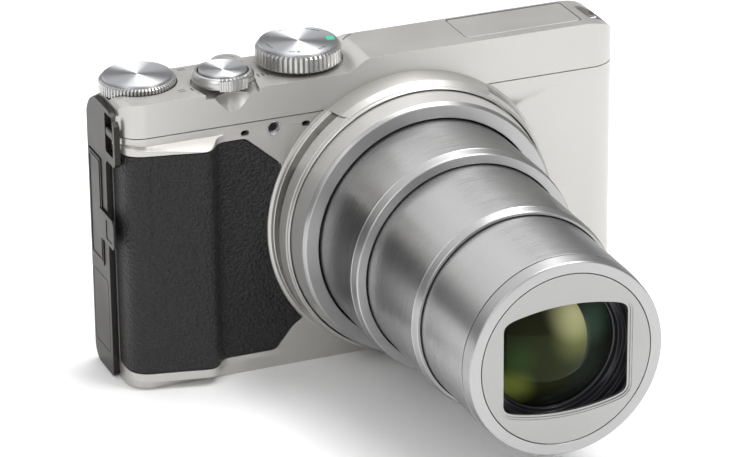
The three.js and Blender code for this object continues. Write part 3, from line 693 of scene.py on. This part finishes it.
def window_outline(m):
    """The arched window about the lens axis, moved out by m."""
    side, crown = 13.4 + m, 11.6 + m
    top = [(u, crown - 0.0115 * u * u) for u in (10.6 - 21.2 * i / 24 for i in range(25))]
    right = curve((side, 7.6), (side, 9.2), (12.3 + m, top[0][1] - 0.42), top[0], 8)
    left = curve(top[-1], (-12.3 - m, top[0][1] - 0.42), (-side, 9.2), (-side, 7.6), 8)
    half = [(side, 7.6)] + right[:-1] + top + left
    return [(LENS_X + u, LENS_Z + v) for u, v in half + [(-u, -v) for u, v in half]]


def build_front_plate(front):
    plate = disc(17.78, front + 0.05, front + 1.0, "Y", LENS, 160)
    cut(plate, prism(window_outline(0.6), "Y", front - 1, front + 0.2))
    cut(plate, prism(window_outline(0.2), "Y", front - 1, front + 0.42))
    cut(plate, prism(window_outline(-0.3), "Y", front - 1, front + 2))
    soften(plate, 0.02, 2)
    finish(plate, "stepped", PLATE, "barrel_3", "front_plate", 40)


# ------------------------------------------------------------------ casing
def top_outline(t, back):
    left, right, front = BODY_LEFT + t, BODY_RIGHT - t, BODY_FRONT + t
    r1, r2, r3 = 5 - t, 6.5 - t, 0.8
    return (arc(right - r2, front + r2, r2, -90, 0, 16) + arc(right - r3, back - r3, r3, 0, 90, 6)
            + arc(left + r3, back - r3, r3, 90, 180, 6) + arc(left + r1, front + r1, r1, 180, 270, 16))


def front_outline(t):
    left, right = BODY_LEFT + t, BODY_RIGHT - t
    hump, deck = HUMP_Z - t, DECK_Z - t
    return ([(left, t), (right, t)] + arc(47.5, 61, right - 47.5, 0, 90, 20, hump - 61)
            + [(-0.5, hump)] + curve((-0.5, hump), (-2.6, hump), (-4.4, deck), (-6.5, deck), 10)
            + arc(left + 2.4, deck - 2.4, 2.4, 90, 180, 8))


def side_outline(t):
    fall = (HUMP_Z - DECK_Z) / 2.2
    shift = t * math.hypot(1, fall) / fall
    back = BODY_BACK - t
    bend = HUMP_Z - (back + shift) * fall
    heel = 3.0 - t
    return ([(-20, -5), (back - heel, -5)] + arc(back - heel, t + heel, heel, -90, 0, 8)
            + curve((back, bend - 2.8), (back, bend - 1), (back - 0.5, bend + 0.6),
                    (back - 1.9, bend + 1.9 * fall), 6)
            + [((HUMP_Z - 80) / fall - shift, 80), (-20, 80)])


def grip_outline(t, rear=-4):
    """Top view of the grip's front surface, moved in by t."""
    left, front, flank = BODY_LEFT + t, BODY_FRONT + t, 0.8 * t
    return ([(left, rear), (left, -10.3)]
            + curve((left, -10.3), (left, -14.0 + t), (-53.2 + t, -15.5 + t), (-50.3, -16.2 + t), 16)
            + [(-45, -17.3 + t), (-39.5, -18.6 + t)]
            + curve((-39.5, -18.6 + t), (-37.6, -19.0 + t), (-36.8 - flank, -18.3 + t),
                    (-35.9 - flank, -17.0 + t), 10)
            + curve((-35.9 - flank, -17.0 + t), (-35 - flank, -15.4 + t), (-34.0, front), (-32.6, front), 10)
            + [(-15, front), (-15, rear)])


def skin_outline(m):
    """Front view of the grip covering, moved out by m."""
    edge = 31.5 - m
    high = math.degrees(math.pi - math.asin((45.0 - LENS_Z) / edge))
    low = math.degrees(math.pi + math.asin((LENS_Z - 10.2) / edge))
    corners = [(-60, GRIP_LOW - m), (-23.0 + m, GRIP_LOW - m), (-19.0 + m, 8.9 - m)]
    corners += arc(LENS_X, LENS_Z, edge, low, high, 30)
    corners += [(-21.2 + m, 45.8 + m), (-28.7 + m, GRIP_HIGH + m), (-60, GRIP_HIGH + m)]
    return filleted(corners, 0.9, 4)


def copy_of(source):
    return add_object("copy", source.data.copy())


def shoulder(inset):
    """Cutter that rounds the casing's upper back corner on the side of the command dial."""
    profile = [(-6.2, 14)] + arc(-6.2, 53.5 - 61, 6.2, 90, 0, 16, 7.5) + [(8, -7.5), (8, 14)]
    cutter = prism([(u, 61 - inset + v) for u, v in profile], "X", -16, 20)
    return turn_to(cutter, math.radians(35), (BODY_LEFT - 1.6 + inset, BODY_BACK - inset))


def inner_hull(back):
    inside = prism(top_outline(WALL, back), "Z", WALL, 70)
    meet(inside, prism(front_outline(WALL), "Y", -20, 10))
    meet(inside, prism(side_outline(WALL), "X", -70, 70))
    return cut(inside, shoulder(WALL))


def build_casing():
    hull = prism(top_outline(0, BODY_BACK), "Z", 0, 75)
    meet(hull, prism(front_outline(0), "Y", -20, 10))
    meet(hull, prism(side_outline(0), "X", -70, 70))
    soften(hull, 0.55, 3, 25)
    cut(hull, shoulder(0))
    build_front_shell(copy_of(hull))
    build_af_lamp()
    build_rear_shell(copy_of(hull))
    build_top_cover(hull)
    build_skin()
    build_side()
    build_base()


def build_front_shell(shell):
    meet(shell, block(-70, 70, -30, SEAM_Y - SEAM_GAP, -1, SEAM_Z - SEAM_GAP))
    shelf = prism([(-22, 2), (-22, GRIP_HIGH - 0.4), (-19.3, GRIP_HIGH), (-14.9, 54.2), (-4, 54.2), (-4, 2)],
                  "X", -60, -10)
    bulge = prism(grip_outline(0), "Z", 2, 54.4)
    meet(bulge, shelf)
    soften(bulge, 0.45, 3, 30)
    join(shell, bulge)
    cut(shell, inner_hull(4))
    pocket = prism(grip_outline(-0.4), "Z", 2, 54)
    cut(pocket, prism(grip_outline(0.92, -3), "Z", 1, 55))
    meet(pocket, prism(skin_outline(0.14), "Y", -25, -6.9))
    cut(shell, pocket)
    cut(shell, disc(LENS_WELL, -22, -9, "Y", LENS, 120), block(*SOCKET_BAY),
        block(DOOR[0] - 0.3, DOOR[1] + 0.3, DOOR[2] - 0.3, DOOR[3] + 0.3, -1, 3),
        disc(3.3, -1, 3, "Z", TRIPOD, 48), block(-56, -53.8, -10.0, -7.4, 50.4, 54.2))
    for x in MICROPHONES:
        cut(shell, panel(x - 0.9, x + 0.9, 53.1, 54.3, 0.59, "Y", -16, -12))
    cut(shell, disc(1.55, -16, -12, "Y", AF_LAMP, 32))
    soften(shell, 0.1, 2, 38)
    finish(shell, "cast", SILVER, "body", "front_shell", 32)


def build_af_lamp():
    lamp = lathe(filleted([(0.8, -13.4), (1.5, -13.4), (1.5, -15.1), (1.38, -15.15), (0.85, -14.2)], 0.06),
                 "Y", AF_LAMP, 40)
    core = disc(0.84, -14.1, -13.5, "Y", AF_LAMP, 32)
    paint(core, 1)
    attach(lamp, core)
    finish(lamp, "ring", [STEEL, GLOSS_BLACK], "body", "af_lamp", 40)


def build_rear_shell(shell):
    meet(shell, block(-70, 70, SEAM_Y, 30, -1, SEAM_Z - SEAM_GAP))
    cut(shell, inner_hull(BODY_BACK - 1.3), block(*SOCKET_BAY))
    for name in BACK_BUTTONS + ["selector_ring"]:
        x, _, z = middle_of(name)
        x0, x1 = box_mm(name)[:2]
        cut(shell, disc((x1 - x0) / 2 + 0.25, 2, 7, "Y", (x, z), 40 if name in BACK_BUTTONS else 64))
    soften(shell, 0.1, 2, 38)
    finish(shell, "moulded", BLACK, "body", "rear_shell", 32)


def build_top_cover(cover):
    marks = block(-1.4, 1.4, -0.2, 0.2, 61.7, 70)
    turn_to(marks, math.radians(32), (-0.7, -1.45))
    attach(marks, *[block(x - du, x + du, y - dv, y + dv, 61.7, 70) for x, y, du, dv in DECK_MARKS])
    meet(marks, copy_of(cover))
    paint(marks, 1)
    marks.data.transform(Matrix.Translation((0, 0, 0.015)))
    meet(cover, block(-70, 70, -30, 30, SEAM_Z, 90))
    mode, command, lever, power = map(middle_of, TOP_CONTROLS)
    inside = inner_hull(BODY_BACK - WALL)
    cut(inside, disc(9.4, 60.2, 64, "Z", command, 48), block(-39, -23, -14.5, -1, 57, 64))
    cut(cover, inside)
    scoop = lathe([(0, 56.6), (0.9, 56.8), (2.0, 57.8), (4.6, 62.0), (4.8, 66), (0, 66)], "Z",
                  (lever[0], -17.6), 64, closed=False)
    notch = prism([(-36.4, -18), (-37.7, -9.1), (-24.3, -9.1), (-25.9, -18)], "Z", 62.3, 70)
    cut(cover, scoop, disc(6.75, 62.3, 70, "Z", lever, 72), notch)
    cut(cover, disc(8.2, 61.6, 70, "Z", command, 96), disc(LENS_WELL, -22, -9, "Y", LENS, 120))
    cut(cover, disc(2.3, 59, 64, "Z", command, 32), disc(1.6, 59, 64, "Z", lever, 24),
        disc(3.5, 60, 66, "Z", power, 40), disc(2.3, 60, 66, "Z", mode, 32),
        disc(9.25, 63.1, 70, "Z", mode, 96))
    x0, x1, y0, y1, _, _ = box_mm("flash_head")
    cut(cover, panel(x0 - 0.2, x1 + 0.2, y0 - 0.2, y1 + 0.45, 0.9, "Z", 60, 70))
    cut(cover, panel(50.2, 54.6, -11, -3, 0.8, "Z", 62.6, 70))
    cut(cover, block(-56, -53.8, -10.0, -7.4, 55.8, 60.2))
    soften(cover, 0.1, 2, 38)
    attach(cover, marks)
    finish(cover, "cast", [SILVER, INK], "body", "top_cover", 32)


def build_skin():
    skin = prism(grip_outline(0.05), "Z", 2, 54)
    cut(skin, prism(grip_outline(0.85, -3), "Z", 1, 55))
    meet(skin, prism(skin_outline(-0.02), "Y", -25, -7.1))
    soften(skin, 0.28, 3, 40)
    finish(skin, "leather", LEATHER, "body", "grip_skin", 50)


# ------------------------------------------------------------------ left side
def build_side():
    build_side_plate()
    build_connector_cover()
    bar = block(-55.95, -54.9, -11.85, -7.25, 55.0, 56.9)
    soften(bar, 0.4, 3, 40)
    finish(bar, "bar", DARK_SILVER, "body", "strap_lug_left")


def build_side_plate():
    outline = [(-6.9, 1.0), (-6.2, 0.3)] + arc(1.4, 3.6, 3.3, -90, 0, 10) + [(4.7, 61), (-9.6, 61)]
    outline += [(-13.0, 58.6), (-13.0, 50.4), (-12.2, 49.4), (-7.8, 49.4), (-6.9, 48.4)]
    plate = prism(outline, "X", -56, -54.75)
    cut(plate, panel(-4.15, 4.05, 24.25, 48.55, 0.7, "X", -57, -54))
    cut(plate, panel(-11.9, -7.2, 51.4, 60.0, 0.6, "X", -57, -54))
    cut(plate, shoulder(0))
    soften(plate, 0.32, 3, 40)
    groove = panel(-5.6, 3.9, 5, 21.5, 1.2, "X", -56.2, -55.93)
    cut(groove, panel(-5.4, 3.7, 5.2, 21.3, 1.0, "X", -57, -54))
    cut(plate, groove)
    finish(plate, "formed", DARK_SILVER, "body", "side_plate")


def build_connector_cover():
    cover = panel(-3.9, 3.8, 24.5, 48.3, 0.6, "X", -56.25, -55.1)
    soften(cover, 0.15, 3, 40)
    rib = panel(-3.3, 3.2, 25.1, 47.7, 0.5, "X", -56.38, -56.0)
    cut(rib, panel(-2.9, 2.8, 25.5, 47.3, 0.4, "X", -57, -54))
    join(cover, rib)
    tab = prism([(-11.9, 31.6), (-11.9, 36.4), (-10.9, 37.4), (-3, 37.4), (-3, 30.8), (-11.2, 30.8)],
                "X", -56.5, -56.05)
    soften(tab, 0.14, 3, 40)
    cut(tab, panel(-10.9, -7.0, 31.9, 36.2, 0.3, "X", -57, -56.38))
    attach(cover, tab)
    finish(cover, "moulded", DARK_SILVER, "connector_cover", "connector_cover")


# ------------------------------------------------------------------ base
def build_base():
    x0, x1, y0, y1 = DOOR
    door = panel(x0, x1, y0, y1, 0.6, "Z", 0.05, 1.3)
    cut(door, block(x0 - 1, x0 + 1, y0 - 1, y1 + 1, -1, 3))
    join(door, disc(1.0, y0 + 0.3, y1 - 0.3, "Y", (x0 + 1, 1.05), 40))
    cut(door, disc(0.5, -20, 5, "Y", (x0 + 1, 1.05), 24), block(x1 - 8.2, x1 - 2.4, -9, -3.6, -1, 0.75))
    soften(door, 0.12, 2, 38)
    finish(door, "pressed", SILVER, "battery_door", "battery_door")
    x0, x1, y0, y1, z0, z1 = box_mm("battery_latch")
    latch = panel(x0, x1, y0, y1, 0.3, "Z", z0, z1)
    for i in range(4):
        rib = x0 + 0.45 + 0.55 * i
        cut(latch, block(rib, rib + 0.25, y0 + 0.6, y1 - 0.6, -1, z0 + 0.15))
    soften(latch, 0.06, 2, 38)
    finish(latch, "ribbed", BLACK, "battery_latch", "battery_latch")
    socket = [(2.7, 0), (3.2, 0), (3.2, 1.7), (4.1, 1.7), (4.1, 6.4), (0, 6.4), (0, 5.4), (2.7, 5.4)]
    socket = lathe(filleted(socket, 0.1), "Z", TRIPOD, 48)
    finish(socket, "turned", STEEL, "body", "tripod_socket", 40)


# ------------------------------------------------------------------ top controls
def knurl(levels, teeth, centre, per=8):
    """Closed round solid; each level is (radius, groove depth, z)."""
    bm = bmesh.new()
    rings = []
    for radius, depth, z in levels:
        points = []
        for i in range(teeth * per):
            swing = math.cos(2 * math.pi * i / per)
            reach = radius - depth * max(0.0, swing) ** 1.5
            angle = 2 * math.pi * i / (teeth * per)
            points.append(bm.verts.new((*polar(centre, reach, angle), z)))
        rings.append(points)
    for low, high in zip(rings, rings[1:]):
        for i in range(len(low)):
            j = (i + 1) % len(low)
            bm.faces.new((low[i], low[j], high[j], high[i]))
    bm.faces.new(rings[0][::-1])
    bm.faces.new(rings[-1])
    return new_object(bm)


def spun_top(radius, low, high, centre, dish=0.0):
    """Round top plate with a cut edge and a slightly dished face."""
    face = [(radius - 0.22, high)] + [((radius - 0.3) * (1 - i / 10), high - dish * (1 - (1 - i / 10) ** 2))
                                      for i in range(11)]
    made = lathe([(0, low), (radius, low), (radius, high - 0.18)] + face, "Z", centre, 128, closed=False)
    paint(made, 1)
    return made


def build_top_controls():
    build_mode_dial()
    build_command_dial()
    build_zoom_lever()
    build_shutter_button()
    build_power_button()


def build_mode_dial():
    x, y, _ = middle_of("mode_dial")
    z0, z1 = 63.75, box_mm("mode_dial")[5]
    dial = knurl([(8.5, 0, z0), (8.9, 0.42, z0 + 0.35), (8.9, 0.42, z1 - 1.15), (8.62, 0.2, z1 - 0.8),
                  (8.5, 0, z1 - 0.62), (8.3, 0, z1 - 0.62)], 52, (x, y))
    attach(dial, spun_top(8.25, z1 - 0.8, z1 - 0.02, (x, y)), disc(1.8, 58.6, z0 + 0.2, "Z", (x, y), 32))
    marks = []
    for i, (angle, width, length) in enumerate(DIAL_MARKS):
        angle = math.radians(angle)
        mark = turn_to(block(-length, length, -width, width, z1 - 0.1, z1), angle, polar((x, y), 6.7, angle))
        paint(mark, 3 if i == 0 else 2)
        marks.append(mark)
    attach(dial, *marks)
    finish(dial, "knurled", [DIAL_SIDE, DIAL_TOP, INK, GREEN_INK], "mode_dial", "mode_dial")


def build_command_dial():
    x, y, _ = middle_of("command_dial")
    z0, z1 = 61.8, box_mm("command_dial")[5]
    dial = knurl([(7.65, 0, z0), (7.95, 0.34, z0 + 0.3), (7.95, 0.34, z1 - 1.0), (7.65, 0.12, z1 - 0.72),
                  (7.5, 0, z1 - 0.6), (7.1, 0, z1 - 0.6)], 66, (x, y))
    attach(dial, spun_top(7.2, z1 - 0.75, z1, (x, y)), disc(1.8, 57.2, z0 + 0.2, "Z", (x, y), 32))
    finish(dial, "knurled", [DIAL_SIDE, DIAL_TOP], "command_dial", "command_dial")


def build_zoom_lever():
    """Ring round the shutter button, with a toothed and ribbed tab at its front."""
    x, y, _ = middle_of("shutter_button")
    z0, z1 = box_mm("zoom_lever")[4:]
    profile = [(5.3, z0), (6.15, z0), (6.4, z0 + 0.7), (6.4, z1 - 0.75), (5.95, z1 - 0.1), (5.65, z1),
               (5.3, z1)]
    ring = lathe(filleted(profile, 0.22), "Z", (x, y), 96)
    outline = []
    for i in range(61):
        turn = -25 + 50 * i / 60
        notched = math.cos(math.radians(turn * 43.2)) < -0.2 and abs(turn) < 23
        reach = 6.85 if notched else 7.05
        outline.append(polar((x, y), reach, math.radians(-90 + turn)))
    outline += arc(x, y, 5.6, -65, -115, 10)
    tab = prism(outline, "Z", z0 + 0.15, z1)
    cut(tab, disc(5.62, 60, 70, "Z", (x, y), 96))
    for i in range(6):
        turn = math.radians(-110.5 + 8.2 * i)
        cut(tab, turn_to(block(5.3, 7.4, -0.13, 0.13, z1 - 0.14, z1 + 1), turn, (x, y)))
    soften(tab, 0.07, 2, 38)
    attach(ring, tab)
    finish(ring, "ribbed", DIAL_SIDE, "zoom_lever", "zoom_lever")


def build_shutter_button():
    x, y, _ = middle_of("shutter_button")
    z0, z1 = box_mm("shutter_button")[4:]
    button = spun_top(5.0, 64.4, z1, (x, y), 0.35)
    paint(button, 1, lambda face: face.center.z > z1 - 0.5)
    attach(button, disc(1.3, z0, 64.5, "Z", (x, y), 32))
    finish(button, "dished", [DIAL_SIDE, DIAL_TOP], "shutter_button", "shutter_button")


def build_power_button():
    x, y, _ = middle_of("power_button")
    z0, z1 = box_mm("power_button")[4:]
    button = disc(3.25, z0, z1, "Z", (x, y), 96, 0.3)
    cut(button, lathe([(1.7, z1 - 0.15), (2.0, z1 - 0.15), (2.0, z1 + 1), (1.7, z1 + 1)], "Z", (x, y), 64))
    finish(button, "dished", SILVER, "power_button", "power_button")


def build_flash():
    x0, x1, y0, y1, _, z1 = box_mm("flash_head")
    lid = panel(x0, x1, y0, y1, 0.8, "Z", 64.3, z1)
    soften(lid, 0.12, 2, 38)
    head = panel(x0 + 1.5, x1 - 1.5, y0 + 1.8, y1 - 2, 0.8, "Z", 60.1, 64.4)
    cut(head, block(x0 + 3, x1 - 3, y0 + 1, y0 + 3.8, 60.4, 63.6))
    soften(head, 0.12, 2, 38)
    paint(head, 1)
    attach(lid, head)
    finish(lid, "cover", [SILVER, BLACK], "flash", "flash_head")
    x0, x1, y0, y1, z0, z1 = box_mm("flash_window")
    window = panel(x0, x1, z0, z1, 0.4, "Y", y0, y1)
    for i in range(24):
        x = x0 + 0.9 + i * (x1 - x0 - 1.8) / 23
        cut(window, block(x - 0.12, x + 0.12, y0 - 1, y0 + 0.12, z0 + 0.3, z1 - 0.3))
    soften(window, 0.05, 1, 38)
    finish(window, "ribbed", WINDOW, "flash", "flash_window")


def build_right_lug():
    x0, x1, y0, y1, _, z1 = box_mm("strap_lug_right")
    loop = panel(x0, x1, 62.65, z1, 0.5, "Y", y0, y1)
    cut(loop, block(x0 + 0.8, x1 - 0.8, y0 - 1, y1 + 1, 62, z1 - 0.75))
    soften(loop, 0.15, 3, 38)
    finish(loop, "loop", STEEL, "body", "strap_lug_right")


# ------------------------------------------------------------------ back
def build_back():
    build_monitor()
    build_hinge()
    build_back_buttons()
    build_selector()
    x0, x1, y0, y1, z0, z1 = box_mm("thumb_rest")
    rest = panel(x0, x1, z0, z1, 3, "Y", y0, y1)
    soften(rest, 0.45, 4, 40)
    finish(rest, "leather", LEATHER, "body", "thumb_rest", 40)


def build_monitor():
    x0, x1, y0, y1, z0, z1 = box_mm("monitor_housing")
    housing = panel(x0, x1, z0, z1, 2.5, "Y", y0, y1)
    soften(housing, 0.55, 4, 40)
    cut(housing, block(x0 + 4, x1 - 4, y0 - 1, y0 + 1.3, z0 + 4, z1 - 4))
    rim = panel(x0 + 2.6, x1 - 2.6, z0 + 2.6, z1 - 2.6, 1.6, "Y", y1 - 0.25, y1 + 1)
    cut(rim, panel(x0 + 3.0, x1 - 3.0, z0 + 3.0, z1 - 3.0, 1.4, "Y", y1 - 1, y1 + 2))
    cut(housing, rim)
    cut(housing, panel(x0 - 1, x0 + 0.9, 27, 35, 0.4, "Y", y0 + 1.2, y0 + 3.4))
    soften(housing, 0.06, 2, 40)
    finish(housing, "moulded", BLACK, "monitor", "monitor_housing")
    x0, x1, y0, y1, z0, z1 = box_mm("monitor_glass")
    glass = panel(x0, x1, z0, z1, 0.8, "Y", y0, y1)
    soften(glass, 0.1, 2, 40)
    finish(glass, "panel", SCREEN, "monitor", "monitor_glass")


def post(low, high):
    return disc(HINGE_RADIUS, low, high, "Z", HINGE, 64)


def build_hinge():
    x, y = HINGE
    arm = post(10, 52.6)
    join(arm, block(48.9, x, y - 1.6, y + 1.6, 12, 50.6))
    cut(arm, disc(1.3, 0, 60, "Z", HINGE, 24))
    shallow, clear = HINGE_RADIUS - 0.2, HINGE_RADIUS + 1
    for low in (13.5, 14.6, 48.0, 49.1):
        groove = [(shallow, low), (clear, low), (clear, low + 0.3), (shallow, low + 0.3)]
        cut(arm, lathe(groove, "Z", HINGE, 48))
    soften(arm, 0.08, 2, 40)
    finish(arm, "moulded", BLACK, "monitor", "hinge_arm")
    lugs = []
    for low, high in ((5.2, 9.6), (53, 57.4)):
        lug = post(low, high)
        join(lug, block(x - HINGE_RADIUS, x + HINGE_RADIUS, BODY_BACK + 0.1, y, low, high))
        lugs.append(soften(lug, 0.3, 3, 40))
    attach(*lugs, disc(1.1, 5.3, 57.3, "Z", HINGE, 24))
    finish(lugs[0], "lugs", BLACK, "body", "hinge_pin")


def build_back_buttons():
    for name in BACK_BUTTONS:
        x, _, z = middle_of(name)
        x0, x1, y0, y1, _, _ = box_mm(name)
        radius = (x1 - x0) / 2
        profile = ([(0, y0), (radius, y0)] + arc(radius - 0.45, y1 - 0.45, 0.45, 0, 80, 6)
                   + [(radius * 0.5, y1 - 0.02), (0, y1)])
        cap = lathe(profile, "Y", (x, z), 48, closed=False)
        if name == "record_button":
            dot = disc(0.95, y1 - 0.3, y1, "Y", (x, z), 32)
            paint(dot, 1)
            attach(cap, dot)
        finish(cap, "cap", [BLACK, RED], name, name)


def build_selector():
    x, _, z = middle_of("selector_ring")
    y0, y1 = box_mm("selector_ring")[2:4]
    profile = [(3.6, y0), (6.8, y0), (6.8, y1 - 0.4), (6.3, y1), (4.1, y1), (3.6, y1 - 0.4)]
    ring = lathe(filleted(profile, 0.12), "Y", (x, z), 96)
    for i in range(40):
        cut(ring, disc(0.16, y1 - 0.12, y1 + 1, "Y", polar((x, z), 6.2, math.pi * i / 20), 8))
    finish(ring, "dimpled", DIAL_SIDE, "selector_ring", "selector_ring")
    y0, y1 = box_mm("ok_button")[2:4]
    profile = [(0, y0), (3.3, y0)] + arc(2.95, y1 - 0.35, 0.35, 0, 80, 5) + [(1.8, y1 - 0.05), (0, y1 - 0.12)]
    cap = lathe(profile, "Y", (x, z), 48, closed=False)
    finish(cap, "cap", BLACK, "ok_button", "ok_button")


# ------------------------------------------------------------------ stage and finish
add_camera()
add_world()
for lamp_name, settings in LAMPS.items():
    add_lamp(lamp_name, *settings)
build_lens()
build_casing()
build_top_controls()
build_flash()
build_right_lug()
build_back()

floor = block(-FLOOR_REACH, FLOOR_REACH, -FLOOR_REACH, FLOOR_REACH, -2.0, FLOOR_TOP)
floor.name = "floor"
for floor_vertex in floor.data.vertices:
    floor_vertex.co *= MM
floor.data.materials.append(FLOOR)

bpy.context.scene.view_settings.view_transform = "Standard"
